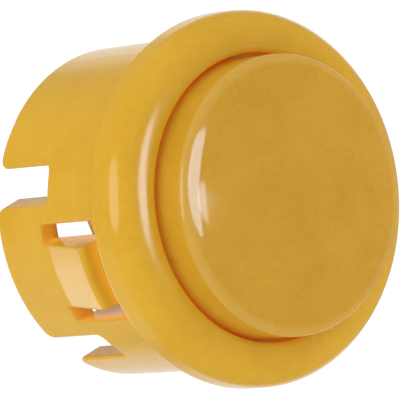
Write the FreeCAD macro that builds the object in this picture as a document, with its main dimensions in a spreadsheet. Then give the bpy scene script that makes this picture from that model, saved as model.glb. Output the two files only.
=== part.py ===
import FreeCAD, Part
import math
import os
import Sketcher

# An arcade push button, 30 mm snap-in: Z is the press axis, Z = 0 the flange face that sits on the panel.

# Driving sizes, in millimetres and degrees
SIZES = {
    # bezel flange and barrel
    "flange_overhang": 1.85,
    "flange_height": 4.6,
    "flange_top_round": 2.2,
    "flange_under_round": 0.5,
    "flange_crown_radius": 5.5,
    "lip_round": 0.45,
    "barrel_diameter": 29.9,
    "barrel_length": 15.4,
    "barrel_wall": 2.05,
    "barrel_taper": 0.22,
    "rim_round": 0.3,
    # floor inside the barrel
    "floor_depth": 4.0,
    "floor_thickness": 1.2,
    # notches in the rear edge
    "notch_offset": 7.83,
    "notch_width": 2.89,
    "notch_depth": 7.1,
    "notch_round": 0.5,
    "notch_mouth_round": 0.9,
    "edge_round": 0.3,
    "rear_round": 0.2,
    # snap tabs and their windows
    "window_width": 9.34,
    "window_front": 1.6,
    "window_rear": 9.5,
    "window_round": 0.4,
    "window_relief": 0.95,
    "tab_width": 6.1,
    "tab_ramp_depth": 8.85,
    "tab_ridge_depth": 2.8,
    "tab_ridge_stand": 1.35,
    "tab_ridge_round": 0.5,
    "tab_tip_sink": 0.3,
    "tab_tip_gap": 0.5,
    # plunger
    "plunger_clearance": 0.35,
    "plunger_rise": 8.55,
    "plunger_dome_radius": 140.0,
    "plunger_edge_round": 0.6,
    "plunger_shoulder_radius": 8.0,
    "plunger_shoulder_run": 2.2,
    "plunger_top_wall": 1.5,
    "plunger_skirt_wall": 1.2,
    "plunger_travel": 3.0,
    "skirt_clearance": 0.4,
    "stem_diameter": 4.4,
    "stem_clearance": 0.3,
    "leg_inner": 8.1,
    "leg_thickness": 1.2,
    "leg_width": 3.6,
    "leg_slot_clearance": 0.2,
    "leg_flex_room": 1.1,
    "hook_reach": 0.9,
    "hook_height": 1.75,
    "hook_gap": 0.05,
    # springs
    "return_spring_mean_diameter": 6.2,
    "return_spring_wire": 0.6,
    "return_spring_turns": 6.0,
    "slider_spring_mean_diameter": 1.44,
    "slider_spring_wire": 0.28,
    "slider_spring_turns": 10.0,
    # ribs inside the barrel
    "rib_reach": 2.2,
    "rib_width": 1.0,
    "rib_length": 4.3,
    # switch case
    "case_width": 8.8,
    "case_length": 18.0,
    "case_depth": 9.3,
    "case_wall": 0.9,
    "cover_depth": 2.1,
    "case_floor": 1.1,
    "case_gap": 0.1,
    "lug_reach": 0.8,
    "lug_width": 3.6,
    "lug_depth": 5.1,
    "lug_height": 1.8,
    # arms of the housing that hold the switch case
    "arm_gap": 0.1,
    "arm_thickness": 1.2,
    "arm_width": 12.0,
    "arm_length": 8.5,
    # slider and its cam, whose working side is set from the inside of the case wall
    "slider_diameter": 3.2,
    "slider_clearance": 0.15,
    "slider_top_gap": 0.05,
    "slider_stand": 0.3,
    "collar_half": 1.9,
    "collar_cam_side": 2.2,
    "collar_height": 3.35,
    "cam_foot": 2.0,
    "cam_rise": 0.285,
    "cam_width": 1.0,
    "spring_pocket_diameter": 2.0,
    "spring_pocket_roof": 2.2,
    "spring_peg_diameter": 0.9,
    "spring_peg_height": 1.2,
    # contacts and terminals, set from the ends of the case
    "leaf_thickness": 0.2,
    "leaf_gap": 0.05,
    "leaf_top": 9.45,
    "leaf_height": 2.15,
    "leaf_rear": 1.8,
    "leaf_front": 2.6,
    "contact_offset": 3.4,
    "contact_diameter": 1.5,
    "contact_thickness": 0.3,
    "contact_open_gap": 0.65,
    "terminal_thickness": 0.5,
    "terminal_width": 2.8,
    "terminal_offset": 3.8,
    "terminal_reach": 6.4,
    "terminal_hole": 1.2,
    "terminal_hole_depth": 3.6,
    "terminal_tip_cut": 0.5,
    "post_length": 2.0,
    "post_foot_height": 1.2,
}


# A length that follows the sheet: its text binds a feature, its number places the first draft of a sketch
class Size:
    def __init__(self, text, number):
        self.text = text
        self.number = number

    def __add__(self, other):
        other = size(other)
        return Size(f"({self.text} + {other.text})", self.number + other.number)

    def __sub__(self, other):
        other = size(other)
        return Size(f"({self.text} - {other.text})", self.number - other.number)

    def __mul__(self, other):
        other = size(other)
        return Size(f"({self.text} * {other.text})", self.number * other.number)

    def __truediv__(self, other):
        other = size(other)
        return Size(f"({self.text} / {other.text})", self.number / other.number)

    def __neg__(self):
        return Size(f"(0 - {self.text})", -self.number)

    def root(self):
        return Size(f"sqrt({self.text})", math.sqrt(self.number))


def size(value):
    if isinstance(value, Size):
        return value
    return Size(f"{float(value):.6f}", float(value))


def named(name):
    return Size(f"sizes.{name}", SIZES[name])


# Sheet with one named cell for each driving size
doc = FreeCAD.newDocument("arcade_button")
sheet = doc.addObject("Spreadsheet::Sheet", "sizes")
for row, (name, value) in enumerate(SIZES.items(), 1):
    sheet.set(f"A{row}", name)
    sheet.set(f"B{row}", str(value))
    sheet.setAlias(f"B{row}", name)
doc.recompute()


def new_body(name):
    body = doc.addObject("PartDesign::Body", name)
    body.Label = name
    return body


def origin_feature(body, role):
    return next(item for item in body.Origin.OriginFeatures if item.Role == role)


# Sketch on one of the body's own planes, moved along its normal by shift
def new_sketch(body, name, role, shift=None):
    sketch = body.newObject("Sketcher::SketchObject", name)
    sketch.AttachmentSupport = [(origin_feature(body, role), "")]
    sketch.MapMode = "FlatFace"
    if shift is not None:
        sketch.setExpression("AttachmentOffset.Base.z", shift.text)
    return sketch


def bind(sketch, constraint, value):
    index = sketch.addConstraint(constraint)
    sketch.setExpression(f"Constraints[{index}]", value.text)


# Holds one point of a sketch at (across, up) from the sketch's origin
def pin_point(sketch, edge, end, across, up):
    if abs(across.number) < 1e-9:
        sketch.addConstraint(Sketcher.Constraint("PointOnObject", edge, end, -2))
    else:
        bind(sketch, Sketcher.Constraint("DistanceX", -1, 1, edge, end, across.number), across)
    if abs(up.number) < 1e-9:
        sketch.addConstraint(Sketcher.Constraint("PointOnObject", edge, end, -1))
    else:
        bind(sketch, Sketcher.Constraint("DistanceY", -1, 1, edge, end, up.number), up)


# Arc from start to end: a positive radius turns left, a negative one turns right
def arc_between(start, end, radius):
    chord = end - start
    middle = (start + end) * 0.5
    left = FreeCAD.Vector(-chord.y, chord.x, 0).normalize()
    reach = math.sqrt(max(radius * radius - chord.Length * chord.Length / 4, 0))
    centre = middle + left * (reach if radius > 0 else -reach)
    first, last = (start, end) if radius > 0 else (end, start)
    begin = math.atan2(first.y - centre.y, first.x - centre.x)
    finish = math.atan2(last.y - centre.y, last.x - centre.x)
    if finish < begin:
        finish += 2 * math.pi
    circle = Part.Circle(centre, FreeCAD.Vector(0, 0, 1), abs(radius))
    return Part.ArcOfCircle(circle, begin, finish)


# Closed outline through corners (across, up), or (across, up, radius) where an arc arrives
def outline(sketch, corners):
    corners = [tuple(size(value) for value in corner) for corner in corners]
    points = [FreeCAD.Vector(corner[0].number, corner[1].number, 0) for corner in corners]
    first = sketch.GeometryCount
    ends = []
    for index, corner in enumerate(corners):
        start = points[index - 1]
        end = points[index]
        if len(corner) == 3:
            sketch.addGeometry(arc_between(start, end, corner[2].number))
            ends.append((1, 2) if corner[2].number > 0 else (2, 1))
        else:
            sketch.addGeometry(Part.LineSegment(start, end))
            ends.append((1, 2))
    for index, corner in enumerate(corners):
        following = (index + 1) % len(corners)
        sketch.addConstraint(
            Sketcher.Constraint(
                "Coincident", first + index, ends[index][1], first + following, ends[following][0]
            )
        )
        pin_point(sketch, first + index, ends[index][1], corner[0], corner[1])
        if len(corner) == 3:
            radius = corner[2] if corner[2].number > 0 else -corner[2]
            bind(sketch, Sketcher.Constraint("Radius", first + index, radius.number), radius)


def box_outline(sketch, left, right, low, high):
    outline(sketch, [(left, low), (right, low), (right, high), (left, high)])


# Box outline with round corners
def round_box_outline(sketch, left, right, low, high, radius):
    outline(
        sketch,
        [
            (left, low + radius),
            (left + radius, low, radius),
            (right - radius, low),
            (right, low + radius, radius),
            (right, high - radius),
            (right - radius, high, radius),
            (left + radius, high),
            (left, high - radius, radius),
        ],
    )


def circle_outline(sketch, across, up, radius):
    centre = FreeCAD.Vector(across.number, up.number, 0)
    edge = sketch.addGeometry(Part.Circle(centre, FreeCAD.Vector(0, 0, 1), radius.number))
    pin_point(sketch, edge, 3, across, up)
    bind(sketch, Sketcher.Constraint("Radius", edge, radius.number), radius)


def revolve(body, sketch, name, chord=None):
    feature = body.newObject("PartDesign::Revolution", name)
    feature.Profile = sketch
    feature.ReferenceAxis = (sketch, ["V_Axis"])
    feature.Angle = 360
    if chord:
        half, radius = chord
        feature.setExpression("Angle", f"2 * asin({half.text} / {radius.text})")
        feature.Midplane = True
    doc.recompute()
    return feature


# Pad or pocket by a bound length, to one side of the sketch or to both
def extrude(body, kind, sketch, name, length, reverse=False, both=False):
    feature = body.newObject(f"PartDesign::{kind}", name)
    feature.Profile = sketch
    feature.Type = 0
    feature.setExpression("Length", length.text)
    feature.Reversed = reverse
    if both:
        feature.Midplane = True
    doc.recompute()
    return feature


def pair_about_axis(body, features, name):
    pattern = body.newObject("PartDesign::PolarPattern", name)
    pattern.Originals = features
    pattern.Axis = (origin_feature(body, "Z_Axis"), [""])
    pattern.Angle = 360
    pattern.Occurrences = 2
    body.Tip = pattern
    doc.recompute()
    return pattern


# Rounds the edges of the body's last feature that pick(edge) chooses
def round_edges(body, name, radius, pick):
    base = body.Tip
    names = [f"Edge{index}" for index, edge in enumerate(base.Shape.Edges, 1) if pick(edge)]
    fillet = body.newObject("PartDesign::Fillet", name)
    fillet.Base = (base, names)
    fillet.setExpression("Radius", radius.text)
    doc.recompute()
    return fillet


# Heights and radii that several pieces share
barrel_radius = named("barrel_diameter") / 2
flange_radius = barrel_radius + named("flange_overhang")
bore_radius = barrel_radius - named("barrel_wall")
barrel_end = -named("barrel_length")
barrel_rear = barrel_radius - named("barrel_taper")
plunger_radius = bore_radius - named("plunger_clearance")
floor_top = -named("floor_depth")
floor_under = floor_top - named("floor_thickness")
stem_radius = named("stem_diameter") / 2
dome_edge_drop = named("plunger_dome_radius") - (
    named("plunger_dome_radius") * named("plunger_dome_radius") - plunger_radius * plunger_radius
).root()
plunger_under = named("plunger_rise") - dome_edge_drop - named("plunger_top_wall")
case_top = floor_under - named("case_gap")
case_split = case_top - named("cover_depth")
case_bottom = case_top - named("case_depth")
case_inside_floor = case_bottom + named("case_floor")
case_ceiling = case_top - named("case_wall")
half_case_width = named("case_width") / 2
half_case_length = named("case_length") / 2
slider_bottom_of_post = case_ceiling - named("slider_top_gap")
slider_top = case_top + named("plunger_travel") + named("slider_stand")
stem_tip = slider_top + named("slider_top_gap")
collar_bottom = slider_bottom_of_post - named("collar_height")
case_inside = half_case_width - named("case_wall")
cam_flat = case_inside - named("collar_cam_side")
cam_foot = case_inside - named("cam_foot")
terminal_line = half_case_length - named("terminal_offset")
contact_line = half_case_length - named("contact_offset")
leaf_inner_face = cam_foot + named("leaf_gap")
leaf_outer_face = leaf_inner_face + named("leaf_thickness")
leaf_top = -named("leaf_top")
leaf_bottom = leaf_top - named("leaf_height")
contact_height = leaf_top - named("leaf_height") / 2
fixed_face = leaf_outer_face + named("contact_thickness") * 2 + named("contact_open_gap")


# One moulding: bezel flange, barrel, floor, snap tabs and the arms that hold the switch
def make_housing():
    body = new_body("housing")
    profile = new_sketch(body, "housing_profile", "YZ_Plane")
    hole = stem_radius + named("stem_clearance")
    top = named("flange_height")
    lip = bore_radius + named("lip_round")
    rim = named("flange_top_round")
    crown = named("flange_crown_radius")
    # the crown meets the rounded rim where their arcs share a tangent
    spread = flange_radius - rim - lip
    drop = ((crown - rim) * (crown - rim) - spread * spread).root()
    rim_top = top - crown + drop
    share = rim / (crown - rim)
    outline(
        profile,
        [
            (hole, floor_top),
            (hole, floor_under),
            (bore_radius, floor_under),
            (bore_radius, barrel_end + named("rim_round")),
            (bore_radius + named("rim_round"), barrel_end, named("rim_round")),
            (barrel_rear, barrel_end),
            (barrel_radius, 0),
            (flange_radius - named("flange_under_round"), 0),
            (flange_radius, named("flange_under_round"), named("flange_under_round")),
            (flange_radius, rim_top),
            (flange_radius - rim + spread * share, rim_top + drop * share, rim),
            (lip, top, crown),
            (bore_radius, top - named("lip_round"), named("lip_round")),
            (bore_radius, floor_top),
        ],
    )
    revolve(body, profile, "housing_turned")

    # two open notches beside each tab, cut straight along X as the mould's slides do
    curve = named("notch_round")
    mouth = named("notch_mouth_round")
    notch_end = barrel_end + named("notch_depth")
    below = barrel_end - 1
    features = []
    for side, sign in (("left", 1), ("right", -1)):
        shape = new_sketch(body, f"notch_{side}_shape", "YZ_Plane", half_case_width)
        low = named("notch_offset") * sign - named("notch_width") / 2
        high = named("notch_offset") * sign + named("notch_width") / 2
        outline(
            shape,
            [
                (low - mouth, below),
                (high + mouth, below),
                (high + mouth, barrel_end),
                (high, barrel_end + mouth, -mouth),
                (high, notch_end - curve),
                (high - curve, notch_end, curve),
                (low + curve, notch_end),
                (low, notch_end - curve, curve),
                (low, barrel_end + mouth),
                (low - mouth, barrel_end, -mouth),
            ],
        )
        features.append(extrude(body, "Pocket", shape, f"notch_{side}", barrel_radius, reverse=True))

    # wedge of each snap tab: a ramp out from the barrel to a ridge, then a slope back toward the flange
    wedge = new_sketch(body, "wedge_shape", "XZ_Plane")
    ridge = barrel_radius + named("tab_ridge_stand")
    ramp_foot = barrel_radius - named("barrel_taper") * named("tab_ramp_depth") / named("barrel_length")
    wedge_inner = barrel_radius - named("barrel_wall") / 2
    tip = -named("window_front") - named("tab_tip_gap")
    outline(
        wedge,
        [
            (wedge_inner, tip),
            (wedge_inner, -named("tab_ramp_depth")),
            (ramp_foot, -named("tab_ramp_depth")),
            (ridge, -named("tab_ridge_depth")),
            (barrel_radius - named("tab_tip_sink"), tip),
        ],
    )
    half_window = named("window_width") / 2
    half_tab = named("tab_width") / 2
    features.append(revolve(body, wedge, "wedge", ((half_tab + half_window) / 2, ridge)))

    # slot round three sides of the tab, which stays joined to the barrel at its rear
    slot_inner = bore_radius - named("window_relief")
    corner = named("window_round")
    front = -named("window_front")
    rear = -named("window_rear")
    slot = new_sketch(body, "tab_slot_shape", "YZ_Plane", slot_inner)
    outline(
        slot,
        [
            (-half_window + corner, rear, corner),
            (-half_tab, rear),
            (-half_tab, tip),
            (half_tab, tip),
            (half_tab, rear),
            (half_window - corner, rear),
            (half_window, rear + corner, corner),
            (half_window, front - corner),
            (half_window - corner, front, corner),
            (-half_window + corner, front),
            (-half_window, front - corner, corner),
            (-half_window, rear + corner),
        ],
    )
    features.append(extrude(body, "Pocket", slot, "tab_slot", named("barrel_wall") * 3, reverse=True))

    # room behind the tab, so that it bends free of the floor
    relief = new_sketch(body, "tab_relief_shape", "YZ_Plane", slot_inner)
    box_outline(relief, -half_window, half_window, rear, front)
    features.append(extrude(body, "Pocket", relief, "tab_relief", named("window_relief"), reverse=True))

    # slot in the floor for each plunger leg
    slot = new_sketch(body, "leg_slot_shape", "XY_Plane", floor_top + 1)
    slot_half = named("leg_width") / 2 + named("leg_slot_clearance")
    slot_outer = named("leg_inner") + named("leg_thickness") + named("leg_slot_clearance")
    box_outline(slot, named("leg_inner") - named("leg_flex_room"), slot_outer, -slot_half, slot_half)
    features.append(extrude(body, "Pocket", slot, "leg_slot", named("floor_thickness") + 2))

    # two ribs from the floor down the barrel's wall, which stiffen it beside each slot
    ribs = new_sketch(body, "rib_shape", "XY_Plane", floor_under + 0.5)
    rib_inner = bore_radius - named("rib_reach")
    for sign in (1, -1):
        near = half_window * sign
        far = (half_window + named("rib_width")) * sign
        low, high = (near, far) if sign > 0 else (far, near)
        box_outline(ribs, rib_inner, bore_radius, low, high)
    features.append(extrude(body, "Pad", ribs, "ribs", named("rib_length") + 0.5, reverse=True))

    # arm beside the switch, with a window for the case's lug
    arm = new_sketch(body, "arm_shape", "YZ_Plane", half_case_width + named("arm_gap"))
    arm_half = named("arm_width") / 2
    arm_end = floor_under - named("arm_length")
    outline(
        arm,
        [
            (-arm_half, floor_under + 0.5),
            (-arm_half, arm_end + 1),
            (-arm_half + 1, arm_end, 1),
            (arm_half - 1, arm_end),
            (arm_half, arm_end + 1, 1),
            (arm_half, floor_under + 0.5),
        ],
    )
    features.append(extrude(body, "Pad", arm, "arm", named("arm_thickness")))
    catch = new_sketch(body, "catch_shape", "YZ_Plane", half_case_width)
    catch_half = named("lug_width") / 2 + named("leg_slot_clearance")
    catch_low = case_top - named("lug_depth") - 0.05
    catch_high = case_top - named("lug_depth") + named("lug_height") + 0.3
    box_outline(catch, -catch_half, catch_half, catch_low, catch_high)
    features.append(extrude(body, "Pocket", catch, "catch", named("arm_thickness") + 0.5, reverse=True))
    pair_about_axis(body, features, "both_sides")

    # soft moulded edges round the windows, along the rear edge with its notches, and on the tabs' ridges
    def on_skin(edge):
        middle = edge.valueAt((edge.FirstParameter + edge.LastParameter) / 2)
        for point in [vertex.Point for vertex in edge.Vertexes] + [middle]:
            skin = barrel_radius.number + SIZES["barrel_taper"] * point.z / SIZES["barrel_length"]
            if abs(math.hypot(point.x, point.y) - skin) > 0.02:
                return None
        return middle

    def on_window_edge(edge):
        middle = on_skin(edge)
        if middle is None or abs(middle.x) < 1:
            return False
        beside_tab = half_tab.number + 0.01 < abs(middle.y) < half_window.number + 0.1
        across_front = abs(middle.z - front.number) < 0.01
        return (beside_tab or across_front) and rear.number - 0.1 < middle.z < -0.5

    def on_rear_edge(edge):
        middle = on_skin(edge)
        if middle is None:
            return False
        if middle.z < barrel_end.number + 0.01:
            return True
        return middle.z < notch_end.number + 0.1 and abs(middle.x) > 1 and abs(middle.y) > half_window.number

    def on_ridge_edge(edge):
        ends = [vertex.Point for vertex in edge.Vertexes]
        return all(abs(math.hypot(point.x, point.y) - ridge.number) < 1e-3 for point in ends)

    round_edges(body, "window_edges", named("edge_round"), on_window_edge)
    round_edges(body, "rear_edges", named("rear_round"), on_rear_edge)
    round_edges(body, "ridge_edges", named("tab_ridge_round"), on_ridge_edge)
    return body


# Cap with skirt, stem and two hooked legs
def make_plunger():
    body = new_body("plunger")
    profile = new_sketch(body, "plunger_profile", "YZ_Plane")
    skirt_end = floor_top + named("plunger_travel") + named("skirt_clearance")
    inner = plunger_radius - named("plunger_skirt_wall")
    # dome, shoulder and edge are three arcs, each tangent to the next
    dome = named("plunger_dome_radius")
    shoulder = named("plunger_shoulder_radius")
    edge = named("plunger_edge_round")
    run = named("plunger_shoulder_run")
    edge_radius = plunger_radius - edge
    shoulder_radius = edge_radius - run
    lift = ((shoulder - edge) * (shoulder - edge) - run * run).root()
    reach = ((dome - shoulder) * (dome - shoulder) - shoulder_radius * shoulder_radius).root()
    edge_height = named("plunger_rise") - dome + reach + lift
    edge_share = edge / (shoulder - edge)
    dome_share = dome / (dome - shoulder)
    outline(
        profile,
        [
            (0, stem_tip),
            (stem_radius, stem_tip),
            (stem_radius, plunger_under),
            (inner, plunger_under),
            (inner, skirt_end),
            (plunger_radius, skirt_end),
            (plunger_radius, edge_height),
            (edge_radius + run * edge_share, edge_height + lift * edge_share, edge),
            (shoulder_radius * dome_share, named("plunger_rise") - dome + reach * dome_share, shoulder),
            (0, named("plunger_rise"), dome),
        ],
    )
    revolve(body, profile, "plunger_turned")
    leg = new_sketch(body, "leg_shape", "XZ_Plane")
    inner = named("leg_inner")
    outer = inner + named("leg_thickness")
    hook_top = floor_under - named("hook_gap")
    hook_end = hook_top - named("hook_height")
    outline(
        leg,
        [
            (inner, plunger_under + 0.4),
            (inner, hook_end),
            (outer - 0.3, hook_end),
            (outer + named("hook_reach"), hook_top - 0.4),
            (outer + named("hook_reach"), hook_top),
            (outer, hook_top),
            (outer, plunger_under + 0.4),
        ],
    )
    pad = extrude(body, "Pad", leg, "leg", named("leg_width"), both=True)
    pair_about_axis(body, [pad], "both_legs")
    return body


# Coil of round wire between two heights, with its ends ground flat
def make_spring(name, mean_diameter, wire, turns, low, high):
    body = new_body(name)
    section = new_sketch(body, f"{name}_section", "XZ_Plane")
    circle_outline(section, mean_diameter / 2, low, wire / 2)
    coil = body.newObject("PartDesign::AdditiveHelix", f"{name}_coil")
    coil.Profile = section
    coil.ReferenceAxis = (section, ["V_Axis"])
    coil.Mode = 0
    coil.setExpression("Height", (high - low).text)
    coil.setExpression("Pitch", ((high - low) / turns).text)
    doc.recompute()
    for end, height, reverse in (("lower", low, False), ("upper", high, True)):
        grind = new_sketch(body, f"{name}_{end}_end_shape", "XY_Plane", height)
        circle_outline(grind, size(0), size(0), mean_diameter)
        extrude(body, "Pocket", grind, f"{name}_{end}_end", wire * 4, reverse=reverse)
    return body


# Upper half of the switch case, with the slider's hole
def make_switch_cover():
    body = new_body("switch_cover")
    shell = new_sketch(body, "cover_outer_shape", "XY_Plane", case_split)
    round_box_outline(
        shell, -half_case_width, half_case_width, -half_case_length, half_case_length, size(0.6)
    )
    extrude(body, "Pad", shell, "cover_outer", named("cover_depth"))
    hollow = new_sketch(body, "cover_hollow_shape", "XY_Plane", case_split)
    across = half_case_width - named("case_wall")
    along = half_case_length - named("case_wall")
    box_outline(hollow, -across, across, -along, along)
    depth = named("cover_depth") - named("case_wall")
    extrude(body, "Pocket", hollow, "cover_hollow", depth, reverse=True)
    hole = new_sketch(body, "slider_hole_shape", "XY_Plane", case_top)
    circle_outline(hole, size(0), size(0), named("slider_diameter") / 2 + named("slider_clearance"))
    extrude(body, "Pocket", hole, "slider_hole", named("case_wall") + 0.5)
    return body


# Lower half of the switch case, with lugs, terminal slots and the spring's peg
def make_switch_base():
    body = new_body("switch_base")
    depth = case_split - case_bottom
    shell = new_sketch(body, "base_outer_shape", "XY_Plane", case_bottom)
    round_box_outline(
        shell, -half_case_width, half_case_width, -half_case_length, half_case_length, size(0.6)
    )
    extrude(body, "Pad", shell, "base_outer", depth)
    hollow = new_sketch(body, "base_hollow_shape", "XY_Plane", case_split)
    across = half_case_width - named("case_wall")
    along = half_case_length - named("case_wall")
    box_outline(hollow, -across, across, -along, along)
    extrude(body, "Pocket", hollow, "base_hollow", depth - named("case_floor"))
    slots = new_sketch(body, "terminal_slot_shape", "XY_Plane", case_inside_floor + 0.5)
    slot_across = named("terminal_width") / 2 + 0.03
    slot_along = named("terminal_thickness") / 2 + 0.03
    for side in (1, -1):
        middle = terminal_line * side
        box_outline(slots, -slot_across, slot_across, middle - slot_along, middle + slot_along)
    extrude(body, "Pocket", slots, "terminal_slots", named("case_floor") + 1)
    peg = new_sketch(body, "spring_peg_shape", "XY_Plane", case_inside_floor - 0.2)
    circle_outline(peg, size(0), size(0), named("spring_peg_diameter") / 2)
    extrude(body, "Pad", peg, "spring_peg", named("spring_peg_height") + 0.2)
    lug = new_sketch(body, "lug_shape", "XZ_Plane")
    lug_low = case_top - named("lug_depth")
    outline(
        lug,
        [
            (half_case_width - 0.3, lug_low),
            (half_case_width + named("lug_reach"), lug_low),
            (half_case_width + named("lug_reach"), lug_low + 0.6),
            (half_case_width, lug_low + named("lug_height")),
            (half_case_width - 0.3, lug_low + named("lug_height")),
        ],
    )
    pad = extrude(body, "Pad", lug, "lug", named("lug_width"), both=True)
    pair_about_axis(body, [pad], "both_lugs")
    return body


# Pin that the stem pushes, with a cam on one side and a pocket for its spring
def make_switch_slider():
    body = new_body("switch_slider")
    post = new_sketch(body, "slider_post_shape", "XY_Plane", collar_bottom)
    circle_outline(post, size(0), size(0), named("slider_diameter") / 2)
    extrude(body, "Pad", post, "slider_post", slider_top - collar_bottom)
    collar = new_sketch(body, "slider_collar_shape", "XY_Plane", collar_bottom)
    half = named("collar_half")
    box_outline(collar, -half, cam_flat, -half, half)
    extrude(body, "Pad", collar, "slider_collar", named("collar_height"))
    trim = new_sketch(body, "slider_trim_shape", "XY_Plane", slider_bottom_of_post)
    box_outline(trim, cam_flat, half, -half, half)
    extrude(body, "Pocket", trim, "slider_trim", named("collar_height") + 1)
    cam = new_sketch(body, "cam_shape", "XZ_Plane")
    outline(
        cam,
        [
            (cam_flat - 0.2, collar_bottom),
            (cam_foot, collar_bottom),
            (cam_foot + named("cam_rise"), slider_bottom_of_post),
            (cam_flat - 0.2, slider_bottom_of_post),
        ],
    )
    extrude(body, "Pad", cam, "cam", named("cam_width"), both=True)
    pocket = new_sketch(body, "spring_pocket_shape", "XY_Plane", collar_bottom)
    circle_outline(pocket, size(0), size(0), named("spring_pocket_diameter") / 2)
    depth = slider_top - named("spring_pocket_roof") - collar_bottom
    extrude(body, "Pocket", pocket, "spring_pocket", depth, reverse=True)
    return body


# Blade terminal with its foot and the upright post that carries a contact inside the case
def make_terminal(name, side, post_face, post_from, post_to):
    body = new_body(name)
    middle = terminal_line * side
    half = named("terminal_width") / 2
    tip = case_bottom - named("terminal_reach")
    cut = named("terminal_tip_cut")
    foot_top = case_inside_floor + named("post_foot_height")
    blade = new_sketch(body, f"{name}_blade_shape", "XZ_Plane", -middle)
    outline(
        blade,
        [
            (-half, tip + cut),
            (-half + cut, tip),
            (half - cut, tip),
            (half, tip + cut),
            (half, case_inside_floor + 0.05),
            (post_face + named("terminal_thickness"), case_inside_floor + 0.05),
            (post_face + named("terminal_thickness"), foot_top),
            (-half, foot_top),
        ],
    )
    circle_outline(blade, size(0), case_bottom - named("terminal_hole_depth"), named("terminal_hole") / 2)
    extrude(body, "Pad", blade, f"{name}_blade", named("terminal_thickness"), both=True)
    post = new_sketch(body, f"{name}_post_shape", "YZ_Plane", post_face)
    box_outline(post, post_from, post_to, foot_top - 0.3, leaf_top)
    extrude(body, "Pad", post, f"{name}_post", named("terminal_thickness"))
    return body


# Spring strip on the common terminal that the cam swings toward the fixed contact
def make_contact_leaf():
    body = new_body("contact_leaf")
    strip = new_sketch(body, "leaf_shape", "YZ_Plane", leaf_inner_face)
    leaf_rear = named("leaf_rear") - half_case_length
    leaf_front = half_case_length - named("leaf_front")
    box_outline(strip, leaf_rear, leaf_front, leaf_bottom, leaf_top)
    extrude(body, "Pad", strip, "leaf_strip", named("leaf_thickness"))
    return body


def make_contact(name, face):
    body = new_body(name)
    disc = new_sketch(body, f"{name}_shape", "YZ_Plane", face)
    circle_outline(disc, contact_line, contact_height, named("contact_diameter") / 2)
    extrude(body, "Pad", disc, f"{name}_disc", named("contact_thickness"))
    return body


blade_half = named("terminal_thickness") / 2
bodies = [
    make_housing(),
    make_plunger(),
    make_spring(
        "return_spring",
        named("return_spring_mean_diameter"),
        named("return_spring_wire"),
        named("return_spring_turns"),
        floor_top,
        plunger_under,
    ),
    make_switch_cover(),
    make_switch_base(),
    make_switch_slider(),
    make_spring(
        "slider_spring",
        named("slider_spring_mean_diameter"),
        named("slider_spring_wire"),
        named("slider_spring_turns"),
        case_inside_floor,
        slider_top - named("spring_pocket_roof"),
    ),
    make_terminal(
        "common_terminal",
        -1,
        leaf_outer_face,
        -terminal_line - blade_half - named("post_length"),
        -terminal_line - blade_half,
    ),
    make_terminal(
        "open_terminal",
        1,
        fixed_face,
        terminal_line - blade_half,
        terminal_line - blade_half + named("post_length"),
    ),
    make_contact_leaf(),
    make_contact("moving_contact", leaf_outer_face),
    make_contact("fixed_contact", fixed_face - named("contact_thickness")),
]
doc.recompute()

# Every feature must have built, and every piece must be one valid solid
for item in doc.Objects:
    if "Invalid" in item.State or "Error" in item.State:
        raise RuntimeError(f"{item.Name} did not build: {item.State}")
os.makedirs("parts", exist_ok=True)
for body in bodies:
    shape = body.Shape
    if shape.isNull() or not shape.isValid() or len(shape.Solids) != 1:
        raise RuntimeError(f"{body.Label} is not one valid solid")
    shape.exportStep(f"parts/{body.Label}.step")
    box = shape.BoundBox
    print(
        f"{body.Label}: {shape.Volume:.2f} mm3,"
        f" X {box.XMin:.2f} to {box.XMax:.2f}, Y {box.YMin:.2f} to {box.YMax:.2f},"
        f" Z {box.ZMin:.2f} to {box.ZMax:.2f}"
    )
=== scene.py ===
# %% [markdown]
# This lesson dresses a 30 mm arcade push button. The measured solids come first, as a fixed frame: every
# piece made here sits on them and rides on one of their bodies, so the button still moves as it should. The
# two springs are wound anew, with their end coils wound close. All other pieces keep their measured shapes
# and only get a finish.

# %% Load the measured frame
import math
import bpy
import bmesh
from mathutils import Matrix, Vector


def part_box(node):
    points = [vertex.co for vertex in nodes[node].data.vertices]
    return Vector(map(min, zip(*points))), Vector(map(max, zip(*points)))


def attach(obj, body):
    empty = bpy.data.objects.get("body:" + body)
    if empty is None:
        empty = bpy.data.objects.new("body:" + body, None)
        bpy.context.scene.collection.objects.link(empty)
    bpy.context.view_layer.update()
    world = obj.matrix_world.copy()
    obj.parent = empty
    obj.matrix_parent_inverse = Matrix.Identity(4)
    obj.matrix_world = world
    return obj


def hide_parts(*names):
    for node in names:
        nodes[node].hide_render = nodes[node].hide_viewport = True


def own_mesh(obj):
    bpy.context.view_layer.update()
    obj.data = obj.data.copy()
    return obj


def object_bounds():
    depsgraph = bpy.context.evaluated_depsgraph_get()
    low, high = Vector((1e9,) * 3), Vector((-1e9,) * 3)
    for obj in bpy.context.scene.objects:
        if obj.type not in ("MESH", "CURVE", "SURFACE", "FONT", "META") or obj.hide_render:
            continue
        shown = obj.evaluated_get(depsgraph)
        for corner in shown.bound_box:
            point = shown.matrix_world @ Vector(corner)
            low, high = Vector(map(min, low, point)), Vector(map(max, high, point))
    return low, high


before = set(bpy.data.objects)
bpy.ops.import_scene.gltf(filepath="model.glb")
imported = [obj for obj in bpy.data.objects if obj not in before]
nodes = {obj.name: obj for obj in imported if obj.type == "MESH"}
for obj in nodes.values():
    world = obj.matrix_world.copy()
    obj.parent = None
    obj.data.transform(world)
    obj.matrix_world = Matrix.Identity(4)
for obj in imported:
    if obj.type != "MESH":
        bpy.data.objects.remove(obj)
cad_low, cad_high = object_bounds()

MM = 0.001
print("measured pieces:", sorted(nodes))

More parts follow.
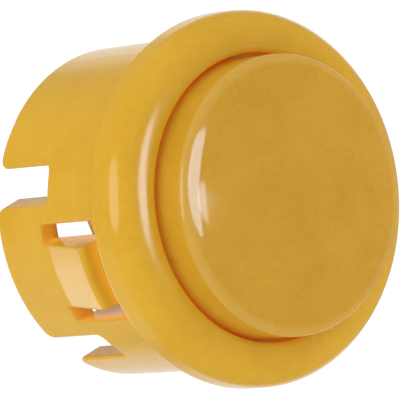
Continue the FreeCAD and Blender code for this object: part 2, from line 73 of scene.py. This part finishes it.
# %% [markdown]
# The picture is taken with a long lens from beside and above, with the button rolled in the view: its press
# axis points to the right and toward the viewer. A camera can be aimed with a constraint, but its roll
# matters here, so its three axes are written down and turned into one matrix.

# %% Camera
view_right = Vector((0.67504, -0.36200, 0.64284)).normalized()
view_up = Vector((0.42524, 0.90293, 0.06193)).normalized()
view_back = view_right.cross(view_up).normalized()
view_up = view_back.cross(view_right)
eye = Vector((-0.51633, 0.19866, 0.64924))


def facing(across, upright, outward):
    return Matrix((across, upright, outward)).transposed().to_4x4()


camera_data = bpy.data.cameras.new("photo_camera")
camera = bpy.data.objects.new("photo_camera", camera_data)
bpy.context.scene.collection.objects.link(camera)
camera.matrix_world = Matrix.Translation(eye) @ facing(view_right, view_up, view_back)
camera_data.sensor_width = 36
camera_data.lens = 863.8
camera_data.clip_start = 0.05
bpy.context.scene.camera = camera
bpy.context.scene.view_settings.view_transform = "Standard"
print("camera", round(eye.length, 3), "m from the panel face, lens", camera_data.lens, "mm")

# %% [markdown]
# A node graph is easier to read when each node is made by one line. The first helper adds a node, sets its
# plain values and links its inputs: an input is given by its name, or by the letter i and its number where
# a node uses one name twice. The others wrap three nodes that come again and again: a sum, the share of a
# direction that lies along an axis, and a ramp from one value to another.


# %% Helpers for node graphs
def add_node(tree, kind, settings=None, **inputs):
    node = tree.nodes.new(kind)
    for name, value in (settings or {}).items():
        setattr(node, name, value)
    for name, value in inputs.items():
        numbered = name[0] == "i" and name[1:].isdigit()
        socket = node.inputs[int(name[1:]) if numbered else name.replace("_", " ")]
        if isinstance(value, bpy.types.NodeSocket):
            tree.links.new(value, socket)
        else:
            socket.default_value = value
    return node


def maths(tree, operation, *values):
    inputs = {f"i{index}": value for index, value in enumerate(values)}
    return add_node(tree, "ShaderNodeMath", {"operation": operation}, **inputs).outputs[0]


def along(tree, direction, axis):
    share = add_node(tree, "ShaderNodeVectorMath", {"operation": "DOT_PRODUCT"}, i0=direction, i1=axis)
    return share.outputs["Value"]


def ramp(tree, value, low, high, start, end, kind="SMOOTHSTEP"):
    node = add_node(
        tree, "ShaderNodeMapRange", {"interpolation_type": kind},
        Value=value, From_Min=low, From_Max=high, To_Min=start, To_Max=end,
    )
    return node.outputs["Result"]


print("node helpers are ready")

# %% [markdown]
# Glossy plastic shows the room round it, so the room has to be right before the colour can be. The button
# stands in a small product studio. Glossy rays that run on past the button see a bright sheet above or below
# it, which reaches a little further round on the right. A screen and a pale table top stand to the lower
# left, where they give the tab's ramp and the barrel their sheen. Everything else is a dim room. Real sheets
# could be modelled, but a few ramps on the ray's direction are quicker and stand in nobody's way.

# %% What the plastic mirrors
ROOM_LEVEL = 0.32
SHEET_LEVEL = 0.62
SCREEN_LEVEL = 0.9
TABLE_LEVEL = 0.45
toward_screen = view_right * -0.59 + view_up * -0.37 + view_back * -0.716
toward_table = view_right * -0.75 + view_up * -0.50 + view_back * -0.43


def bright_sheets(tree, direction):
    away = along(tree, direction, -view_back)
    upward = along(tree, direction, view_up)
    aside = along(tree, direction, view_right)
    behind = ramp(tree, maths(tree, "MULTIPLY_ADD", upward, -0.05, away), 0.66, 0.83, 0.0, 1.0)
    turn = maths(tree, "ARCTAN2", upward, aside)
    steep = maths(tree, "ABSOLUTE", maths(tree, "SINE", turn))
    steep = maths(tree, "MULTIPLY_ADD", maths(tree, "COSINE", turn), 0.2, steep)
    lifted = ramp(tree, steep, 0.60, 0.85, 0.0, 1.0)
    return maths(tree, "MULTIPLY", behind, lifted)


def mirrored_room(tree, direction):
    room = maths(tree, "MULTIPLY_ADD", bright_sheets(tree, direction), SHEET_LEVEL, ROOM_LEVEL)
    screen = ramp(tree, along(tree, direction, toward_screen), 0.95, 0.985, 0.0, SCREEN_LEVEL)
    room = maths(tree, "ADD", room, screen)
    table = ramp(tree, along(tree, direction, toward_table), 0.86, 0.97, 0.0, TABLE_LEVEL)
    return maths(tree, "ADD", room, table)


print("the sheets add", SHEET_LEVEL, "to a room of", ROOM_LEVEL)

# %% [markdown]
# The world gives the soft light. It grows from left to right, because a lamp lights the left side, and it
# grows toward the sheets above and below. The viewer, and whoever looks through something clear, sees plain
# white instead. One picture of a real studio could do all this, but its parts couldn't be set one by one.

# %% Studio world
FILL_LEFT = 0.10
FILL_RIGHT = 0.84
FILL_SHEETS = 0.70
FILL_LIFT = -0.08


def blend(tree, share, first, second):
    return add_node(tree, "ShaderNodeMix", {"data_type": "FLOAT"}, i0=share, i2=first, i3=second).outputs[0]


def seen_straight(tree, path):
    return maths(tree, "MAXIMUM", path["Is Camera Ray"], path["Is Transmission Ray"])


world = bpy.data.worlds.new("studio")
bpy.context.scene.world = world
world.use_nodes = True
tree = world.node_tree
tree.nodes.clear()
direction = add_node(tree, "ShaderNodeTexCoord").outputs["Generated"]
upward = along(tree, direction, view_up)
fill = ramp(tree, along(tree, direction, view_right), -1.0, 1.0, FILL_LEFT, FILL_RIGHT, "LINEAR")
fill = maths(tree, "MULTIPLY_ADD", maths(tree, "ABSOLUTE", upward), FILL_SHEETS, fill)
fill = maths(tree, "MULTIPLY_ADD", upward, FILL_LIFT, fill)
path = add_node(tree, "ShaderNodeLightPath").outputs
room = blend(tree, path["Is Glossy Ray"], fill, mirrored_room(tree, direction))
strength = blend(tree, seen_straight(tree, path), room, 1.0)
light = add_node(tree, "ShaderNodeBackground", Color=(1, 1, 1, 1), Strength=strength)
add_node(tree, "ShaderNodeOutputWorld", Surface=light.outputs[0])
print("studio world with", len(tree.nodes), "nodes")

# %% [markdown]
# Each lamp is an oval area light. It is placed by two angles round the line of sight, to the side and up,
# because that is how its reflection is read in a picture: a face turned by half the angle shows it. The
# softbox on the left lights the button and is mirrored in it. The window on the right is only mirrored, as
# the sail-shaped highlight on the cap, and its small corner gives the sail its point. It is a little cool, so
# that it looks white on the yellow. If it lit the plastic as well, the cap would be too bright.

# %% Lamps
LAMP_DISTANCE = 0.5
cool_daylight = (0.62, 0.78, 1.0)


def oval_lamp(name, side, up, wide, high, radiance, colour=(1, 1, 1), lights=True):
    side, up = math.radians(side), math.radians(up)
    toward = (
        view_right * (math.sin(side) * math.cos(up)) + view_up * math.sin(up)
        + view_back * (math.cos(side) * math.cos(up))
    )
    lamp = bpy.data.lights.new(name, "AREA")
    lamp.shape = "ELLIPSE"
    lamp.color = colour
    lamp.size, lamp.size_y = wide, high
    lamp.energy = radiance * math.pi * wide * high * math.pi / 4
    holder = bpy.data.objects.new(name, lamp)
    holder.visible_diffuse = lights
    bpy.context.scene.collection.objects.link(holder)
    across = view_up.cross(toward).normalized()
    place = Matrix.Translation(toward * LAMP_DISTANCE)
    holder.matrix_world = place @ facing(across, toward.cross(across), toward)
    print(name, "gives", round(lamp.energy, 3), "W")


oval_lamp("left_softbox", -55, 4.0, 0.577, 0.33, 2.6)
oval_lamp("window", 55.0, 8.8, 0.125, 0.18, 8.6, cool_daylight, lights=False)
oval_lamp("window_corner", 65.3, 5.2, 0.106, 0.036, 8.0, cool_daylight, lights=False)

# %% [markdown]
# The floor is one plain sheet of pale paper, well below the button. Paper has fine fibres, so a noise varies
# its tone a little. All rays that carry light on to other things meet this matt paper.

# %% Floor
FLOOR_REACH = 4.0
floor_height = cad_low.z - 0.16
corners = [(-1, -1), (1, -1), (1, 1), (-1, 1)]
floor_points = [(x * FLOOR_REACH, y * FLOOR_REACH, floor_height) for x, y in corners]
floor_mesh = bpy.data.meshes.new("floor")
floor_mesh.from_pydata(floor_points, [], [(0, 1, 2, 3)])
floor = bpy.data.objects.new("floor", floor_mesh)
bpy.context.scene.collection.objects.link(floor)


def new_material(name):
    material = bpy.data.materials.new(name)
    material.use_nodes = True
    material.node_tree.nodes.clear()
    return material


def object_place(tree):
    return add_node(tree, "ShaderNodeTexCoord").outputs["Object"]


paper = new_material("white_paper")
tree = paper.node_tree
place = object_place(tree)
fibres = add_node(tree, "ShaderNodeTexNoise", Vector=place, Scale=300.0, Detail=3.0).outputs["Fac"]
tone = ramp(tree, fibres, 0.0, 1.0, 0.68, 0.74, "LINEAR")
matt = add_node(tree, "ShaderNodeBsdfDiffuse", Color=tone).outputs[0]
print("floor at", round(floor_height / MM, 1), "mm")

# %% [markdown]
# The viewer sees the paper white, with the button's soft shadow kept in it: a faint matt coat takes the
# shadow, and a plain glow does the rest. A glossy ray sees the same room on the paper as in the world. The
# button is small and near the centre, so the place that the ray strikes is enough to give its direction.

# %% White paper
path = add_node(tree, "ShaderNodeLightPath").outputs
shadow = add_node(tree, "ShaderNodeBsdfDiffuse", Color=(0.12, 0.12, 0.12, 1)).outputs[0]
glow = add_node(tree, "ShaderNodeEmission", Color=(1, 1, 1, 1), Strength=0.97).outputs[0]
white = add_node(tree, "ShaderNodeAddShader", i0=shadow, i1=glow).outputs[0]
direction = add_node(tree, "ShaderNodeVectorMath", {"operation": "NORMALIZE"}, i0=place).outputs["Vector"]
room = mirrored_room(tree, direction)
mirrored = add_node(tree, "ShaderNodeEmission", Color=(1, 1, 1, 1), Strength=room).outputs[0]
lit = add_node(tree, "ShaderNodeMixShader", i0=path["Is Glossy Ray"], i1=matt, i2=mirrored).outputs[0]
seen = add_node(tree, "ShaderNodeMixShader", i0=seen_straight(tree, path), i1=lit, i2=white)
add_node(tree, "ShaderNodeOutputMaterial", Surface=seen.outputs[0])
floor_mesh.materials.append(paper)
print("white paper has", len(tree.nodes), "nodes")

# %% [markdown]
# Housing and cap are moulded in a warm yellow plastic. A moulding isn't one flat colour: the pigment streaks
# a little, and fine grains lie in it. Two sizes of noise give these, in the object's own coordinates, so that
# nothing slides when the view changes. A painted picture would have one sharpness, and noise has any.

# %% Pigment
STREAKS_PER_METRE = 170.0
GRAINS_PER_METRE = 1900.0
GRAIN_SHARE = 0.4


def two_tones(tree, value, low, first, high, second):
    node = add_node(tree, "ShaderNodeValToRGB", Fac=value)
    lower, upper = node.color_ramp.elements
    lower.position = low
    lower.color = (*first, 1)
    upper.position = high
    upper.color = (*second, 1)
    return node.outputs["Color"]


def pigment(tree, spot, deep, pale):
    streaks = add_node(
        tree, "ShaderNodeTexNoise",
        Vector=spot, Scale=STREAKS_PER_METRE, Detail=5.0, Roughness=0.6, Distortion=0.8,
    ).outputs["Fac"]
    grains = add_node(
        tree, "ShaderNodeTexNoise", Vector=spot, Scale=GRAINS_PER_METRE, Detail=3.0, Roughness=0.55
    ).outputs["Fac"]
    mixed = blend(tree, GRAIN_SHARE, streaks, grains)
    return two_tones(tree, mixed, 0.36, deep, 0.64, pale), streaks


print("streaks of about", round(1 / STREAKS_PER_METRE / MM, 1), "mm")
print("grains of about", round(1 / GRAINS_PER_METRE / MM, 2), "mm")

# %% [markdown]
# Light that enters such a plastic leaves it warmer where two walls stand close: the gap round the cap is a
# thin orange line, and the slots beside the tabs glow. The shader's own scattering is kept short, so that the
# edges stay crisp. Instead, an ambient occlusion node finds the narrow places, and a painted glow is put
# there.
# It is emission that stands in for that scattered light: redder at the cap, and stronger and paler behind the
# bezel.

# %% Painted glow in narrow gaps
PAINTED_GAP_GLOW = 0.9
PAINTED_SLOT_GLOW = 2.1
GLOW_STARTS = -0.4 * MM
GLOW_FULL = -1.2 * MM
painted_gap_glow_orange = (0.12, 0.032, 0.001, 1)
painted_slot_glow_amber = (0.12, 0.054, 0.010, 1)


def blend_colour(tree, share, first, second):
    return add_node(tree, "ShaderNodeMix", {"data_type": "RGBA"}, i0=share, i6=first, i7=second).outputs[2]


# Painted glow: emission in the narrow gaps and in the slots behind the bezel, standing in for scattered
# light.
def paint_gap_glow(tree, place, openness, painted_glow_level):
    painted_gap_glow_share = ramp(tree, openness, 0.05, 0.40, PAINTED_GAP_GLOW * painted_glow_level, 0.0)
    height = add_node(tree, "ShaderNodeSeparateXYZ", Vector=place).outputs["Z"]
    painted_slot_glow_share = ramp(tree, height, GLOW_FULL, GLOW_STARTS, PAINTED_SLOT_GLOW * painted_glow_level, 0.0, "LINEAR")
    painted_glow_fade = ramp(tree, openness, 0.30, 0.93, 1.0, 0.0)
    painted_glow_hue = blend_colour(tree, painted_slot_glow_share, painted_gap_glow_orange, painted_slot_glow_amber)
    return painted_glow_hue, maths(tree, "MULTIPLY_ADD", painted_slot_glow_share, painted_glow_fade, painted_gap_glow_share)


print("slots glow from", GLOW_STARTS / MM, "mm down, in full from", GLOW_FULL / MM, "mm")

# %% [markdown]
# The plastic itself is one shader. Its gloss varies where the melt cooled, and its face has a faint ripple.
# No edge of a moulding is truly sharp, and a bevel modifier would cut the measured mesh, so a bevel node
# bends only the normals round each edge. Each moulding has its own pigment, gloss and seed, so that no two
# show the same streaks. Where the ambient occlusion finds a crevice, the base colour is blended toward a
# lighter, warmer tint. This is painted light that stands in for light bounced between close walls.

# %% Moulded plastic
SOFT_EDGE = 0.3 * MM
RIPPLE_DEPTH = 0.02 * MM
SCATTER_DEPTH = 0.6 * MM
warm_scatter = (1.0, 0.4, 0.06)


def mould_relief(tree, spot, ripple):
    soft_edge = add_node(tree, "ShaderNodeBevel", {"samples": 8}, Radius=SOFT_EDGE).outputs["Normal"]
    peel = add_node(tree, "ShaderNodeTexNoise", Vector=spot, Scale=900.0, Detail=2.0, Roughness=0.5)
    return add_node(
        tree, "ShaderNodeBump",
        Strength=ripple, Distance=RIPPLE_DEPTH, Height=peel.outputs["Fac"], Normal=soft_edge,
    ).outputs["Normal"]


def moulded_plastic(name, deep, pale, painted_crevice_tint, gap, gloss, ripple, glow, seed, painted_glow_level=0.0):
    material = new_material(name)
    tree = material.node_tree
    place = object_place(tree)
    offset = (seed, seed * 0.7, seed * 1.3)
    spot = add_node(tree, "ShaderNodeVectorMath", {"operation": "ADD"}, i0=place, i1=offset).outputs["Vector"]
    colour, streaks = pigment(tree, spot, deep, pale)
    openness = add_node(tree, "ShaderNodeAmbientOcclusion", {"samples": 8}, Distance=gap).outputs["AO"]
    # Painted light: crevices get a lighter, warmer base colour in place of light bounced between the walls.
    painted_crevice_share = ramp(tree, openness, 0.15, 0.75, 1.0, 0.0, "LINEAR")
    painted_glow_hue, strength = paint_gap_glow(tree, place, openness, painted_glow_level)
    shell = add_node(
        tree, "ShaderNodeBsdfPrincipled",
        Base_Color=blend_colour(tree, painted_crevice_share, colour, (*painted_crevice_tint, 1)),
        Roughness=ramp(tree, streaks, 0.3, 0.7, gloss * 0.86, gloss * 1.16, "LINEAR"),
        Normal=mould_relief(tree, spot, ripple), IOR=1.49,
        Subsurface_Weight=glow, Subsurface_Radius=warm_scatter, Subsurface_Scale=SCATTER_DEPTH,
        Emission_Color=painted_glow_hue, Emission_Strength=strength,
    )
    add_node(tree, "ShaderNodeOutputMaterial", Surface=shell.outputs[0])
    print(name, "has", len(tree.nodes), "nodes")
    return material


# %% [markdown]
# The housing is the brighter yellow. The cap is a deeper yellow with a higher gloss, like a moulding from a
# polished mould. A finish could be given to each face, but each of these pieces is moulded in one go, so one
# finish for each is enough.

# %% Housing and cap
body_yellow = moulded_plastic(
    "body_yellow", deep=(0.70, 0.385, 0.017), pale=(0.76, 0.432, 0.025), painted_crevice_tint=(1.0, 0.58, 0.05),
    gap=2.5 * MM, gloss=0.15, ripple=0.12, glow=0.15, seed=0.0, painted_glow_level=1.0,
)
cap_yellow = moulded_plastic(
    "cap_yellow", deep=(0.592, 0.307, 0.0205), pale=(0.664, 0.353, 0.0295), painted_crevice_tint=(1.0, 0.56, 0.06),
    gap=0.6 * MM, gloss=0.065, ripple=0.06, glow=0.1, seed=0.31, painted_glow_level=1.0,
)


def dress(node, material):
    mesh = nodes[node].data
    mesh.materials.clear()
    mesh.materials.append(material)
    print(node, "wears", material.name)


dress("housing", body_yellow)
dress("plunger", cap_yellow)

# %% [markdown]
# Round its shoulder the cap shows a paler line, a sheen of light along the rounded edge. A ring could be cut
# into the mesh, but the line has no depth. So it is a painted sheen: a change of colour, chosen by the
# distance from the press axis and by the height, both taken from the object's own coordinates.

# %% Painted sheen on the cap's shoulder
PAINTED_SHEEN_SHARE = 0.42
painted_sheen_colour = (0.72, 0.45, 0.10, 1)


# Painted highlight: a paler band on the cap's shoulder that stands in for a sheen of light.
def paint_shoulder_sheen(material, inner, outer, low, high):
    tree = material.node_tree
    shell = tree.nodes["Principled BSDF"]
    colour = shell.inputs["Base Color"].links[0].from_socket
    place = add_node(tree, "ShaderNodeSeparateXYZ", Vector=object_place(tree)).outputs
    flat = add_node(tree, "ShaderNodeCombineXYZ", X=place["X"], Y=place["Y"]).outputs[0]
    radius = add_node(tree, "ShaderNodeVectorMath", {"operation": "LENGTH"}, i0=flat).outputs["Value"]
    painted_sheen_ring = ramp(tree, radius, inner, outer, 0.0, PAINTED_SHEEN_SHARE)
    painted_sheen_height = ramp(tree, place["Z"], low, high, 0.0, 1.0)
    with_painted_sheen = blend_colour(tree, maths(tree, "MULTIPLY", painted_sheen_ring, painted_sheen_height), colour, painted_sheen_colour)
    tree.links.new(with_painted_sheen, shell.inputs["Base Color"])
    print("pale line from", round(inner / MM, 1), "mm outward")


paint_shoulder_sheen(cap_yellow, 11.5 * MM, 12.1 * MM, 7.0 * MM, 7.5 * MM)

# %% [markdown]
# The switch behind the floor of the housing has an ivory case with a softer sheen, and its slider is a
# slippery white plastic. Both are the same kind of moulding as the cap, so the same graph makes them, with
# other colours and another gloss, and without the glow in the gaps.

# %% Switch mouldings
case_ivory = moulded_plastic(
    "case_ivory", deep=(0.70, 0.61, 0.43), pale=(0.77, 0.69, 0.51), painted_crevice_tint=(0.72, 0.60, 0.38),
    gap=1.0 * MM, gloss=0.36, ripple=0.30, glow=0.15, seed=0.57,
)
slider_white = moulded_plastic(
    "slider_white", deep=(0.76, 0.76, 0.73), pale=(0.82, 0.82, 0.79), painted_crevice_tint=(0.80, 0.78, 0.72),
    gap=1.0 * MM, gloss=0.28, ripple=0.20, glow=0.30, seed=0.83,
)
dress("switch_cover", case_ivory)
dress("switch_base", case_ivory)
dress("switch_slider", slider_white)

# %% [markdown]
# Terminals and leaf are stamped from rolled strip, the springs are drawn wire and the contacts are pressed
# silver. Rolling leaves fine lines along the strip: noise stretched along one axis drives the roughness and a
# slight bump, and a slower noise tarnishes the colour in patches. Lines could be painted one by one, but
# stretched noise never repeats.

# %% Rolled and drawn metal
STAMPED_EDGE = 0.05 * MM
LINE_DEPTH = 0.01 * MM


def worked_metal(name, bright, dull, gloss, grain, seed):
    material = new_material(name)
    tree = material.node_tree
    place = object_place(tree)
    offset = (seed, seed, seed)
    strip = add_node(tree, "ShaderNodeMapping", Vector=place, Location=offset, Scale=grain).outputs["Vector"]
    lines = add_node(tree, "ShaderNodeTexNoise", Vector=strip, Scale=900.0, Detail=4.0, Roughness=0.6)
    lines = lines.outputs["Fac"]
    patches = add_node(tree, "ShaderNodeTexNoise", Vector=place, Scale=420.0, Detail=3.0, Distortion=0.6)
    colour = two_tones(tree, patches.outputs["Fac"], 0.35, dull, 0.6, bright)
    rough = ramp(tree, lines, 0.3, 0.7, gloss * 0.7, gloss * 1.35, "LINEAR")
    soft_edge = add_node(tree, "ShaderNodeBevel", {"samples": 4}, Radius=STAMPED_EDGE).outputs["Normal"]
    relief = add_node(
        tree, "ShaderNodeBump", Strength=0.25, Distance=LINE_DEPTH, Height=lines, Normal=soft_edge
    ).outputs["Normal"]
    shell = add_node(
        tree, "ShaderNodeBsdfPrincipled", Base_Color=colour, Metallic=1.0, Roughness=rough, Normal=relief
    )
    add_node(tree, "ShaderNodeOutputMaterial", Surface=shell.outputs[0])
    print(name, "has", len(tree.nodes), "nodes")
    return material


# %% [markdown]
# The terminals are brass strip with a coat of tin, rolled along the blade. The leaf is a springy bronze,
# rolled along its length. The contacts have no lines, and the coils only short ones. One metal for all would
# be simpler, but their different tints are what tells them apart when the switch is opened.

# %% Terminals, leaf and contacts
tinned_brass = worked_metal(
    "tinned_brass", bright=(0.74, 0.71, 0.65), dull=(0.60, 0.56, 0.48),
    gloss=0.28, grain=(1.0, 1.0, 0.06), seed=0.0,
)
leaf_bronze = worked_metal(
    "leaf_bronze", bright=(0.76, 0.50, 0.28), dull=(0.62, 0.38, 0.20),
    gloss=0.26, grain=(1.0, 0.06, 1.0), seed=0.2,
)
contact_silver = worked_metal(
    "contact_silver", bright=(0.86, 0.85, 0.82), dull=(0.70, 0.68, 0.64),
    gloss=0.22, grain=(1.0, 1.0, 1.0), seed=0.4,
)
spring_wire = worked_metal(
    "spring_wire", bright=(0.66, 0.66, 0.67), dull=(0.50, 0.50, 0.52),
    gloss=0.24, grain=(1.0, 1.0, 0.3), seed=0.6,
)
dress("common_terminal", tinned_brass)
dress("open_terminal", tinned_brass)
dress("contact_leaf", leaf_bronze)
dress("moving_contact", contact_silver)
dress("fixed_contact", contact_silver)

# %% [markdown]
# A compression spring has its end coils wound close, so that it stands flat. Its wire runs along a helix
# whose height climbs slowly over the first and last coil and evenly between. A screw modifier gives one even
# pitch, so the points of the helix are worked out here instead.

# %% Helix with closed ends
STEPS_A_TURN = 40


def coil_height(share, turns, wire, length):
    closed = 1.0 / turns
    rise = wire / length
    if share < closed:
        return rise * share / closed
    if share > 1 - closed:
        return 1 - rise * (1 - share) / closed
    return rise + (1 - 2 * rise) * (share - closed) / (1 - 2 * closed)


def helix_points(mean_radius, wire, turns, bottom, top):
    steps = int(turns * STEPS_A_TURN)
    points = []
    for step in range(steps + 1):
        share = step / steps
        turn = 2 * math.pi * turns * share
        height = bottom + (top - bottom) * coil_height(share, turns, wire, top - bottom)
        points.append(Vector((mean_radius * math.cos(turn), mean_radius * math.sin(turn), height)))
    return points


print("the helix has", STEPS_A_TURN, "steps a turn")

# %% [markdown]
# The round wire is swept along the helix: a ring of corners stands across the path at each point, and
# neighbouring rings are joined by smooth faces. A curve with a round bevel would be quicker to write, but
# rings made here all look outward from the spring's axis, so that the wire never twists.

# %% Sweep the wire
WIRE_CORNERS = 14


def wire_ring(mesh, points, step, radius):
    point = points[step]
    ahead = (points[min(step + 1, len(points) - 1)] - points[max(step - 1, 0)]).normalized()
    outward = Vector((point.x, point.y, 0)).normalized()
    outward = (outward - ahead * outward.dot(ahead)).normalized()
    side = ahead.cross(outward)
    ring = []
    for corner in range(WIRE_CORNERS):
        angle = 2 * math.pi * corner / WIRE_CORNERS
        ring.append(mesh.verts.new(point + (outward * math.cos(angle) + side * math.sin(angle)) * radius))
    return ring


def swept_wire(name, points, radius):
    mesh = bmesh.new()
    rings = [wire_ring(mesh, points, step, radius) for step in range(len(points))]
    for before, after in zip(rings, rings[1:]):
        for corner in range(WIRE_CORNERS):
            following = (corner + 1) % WIRE_CORNERS
            face = mesh.faces.new((before[corner], before[following], after[following], after[corner]))
            face.smooth = True
    mesh.faces.new(reversed(rings[0]))
    mesh.faces.new(rings[-1])
    bmesh.ops.recalc_face_normals(mesh, faces=mesh.faces)
    data = bpy.data.meshes.new(name)
    mesh.to_mesh(data)
    mesh.free()
    return data


print("the wire has", WIRE_CORNERS, "corners")

# %% [markdown]
# The return spring stands round the plunger's stem, and a small spring stands under the slider. Each coil
# takes the place of the plain helix of the measured frame and keeps its height.


def coil_spring(name, node, mean_radius, wire, turns):
    low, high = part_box(node)
    foot, head = low[2], high[2]
    points = helix_points(mean_radius, wire, turns, foot + wire / 2, head - wire / 2)
    data = swept_wire(name, points, wire / 2)
    data.materials.append(spring_wire)
    coil = bpy.data.objects.new(name, data)
    bpy.context.scene.collection.objects.link(coil)
    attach(coil, "body")
    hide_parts(node)
    print(name, "has", len(data.vertices), "points over", round((head - foot) / MM, 2), "mm")
    return coil, foot, head


return_coil, foot, head = coil_spring("return_coil", "return_spring", 3.1 * MM, 0.6 * MM, 6.0)
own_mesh(return_coil)
slider_coil, foot, head = coil_spring("slider_coil", "slider_spring", 0.72 * MM, 0.28 * MM, 10.0)
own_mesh(slider_coil)
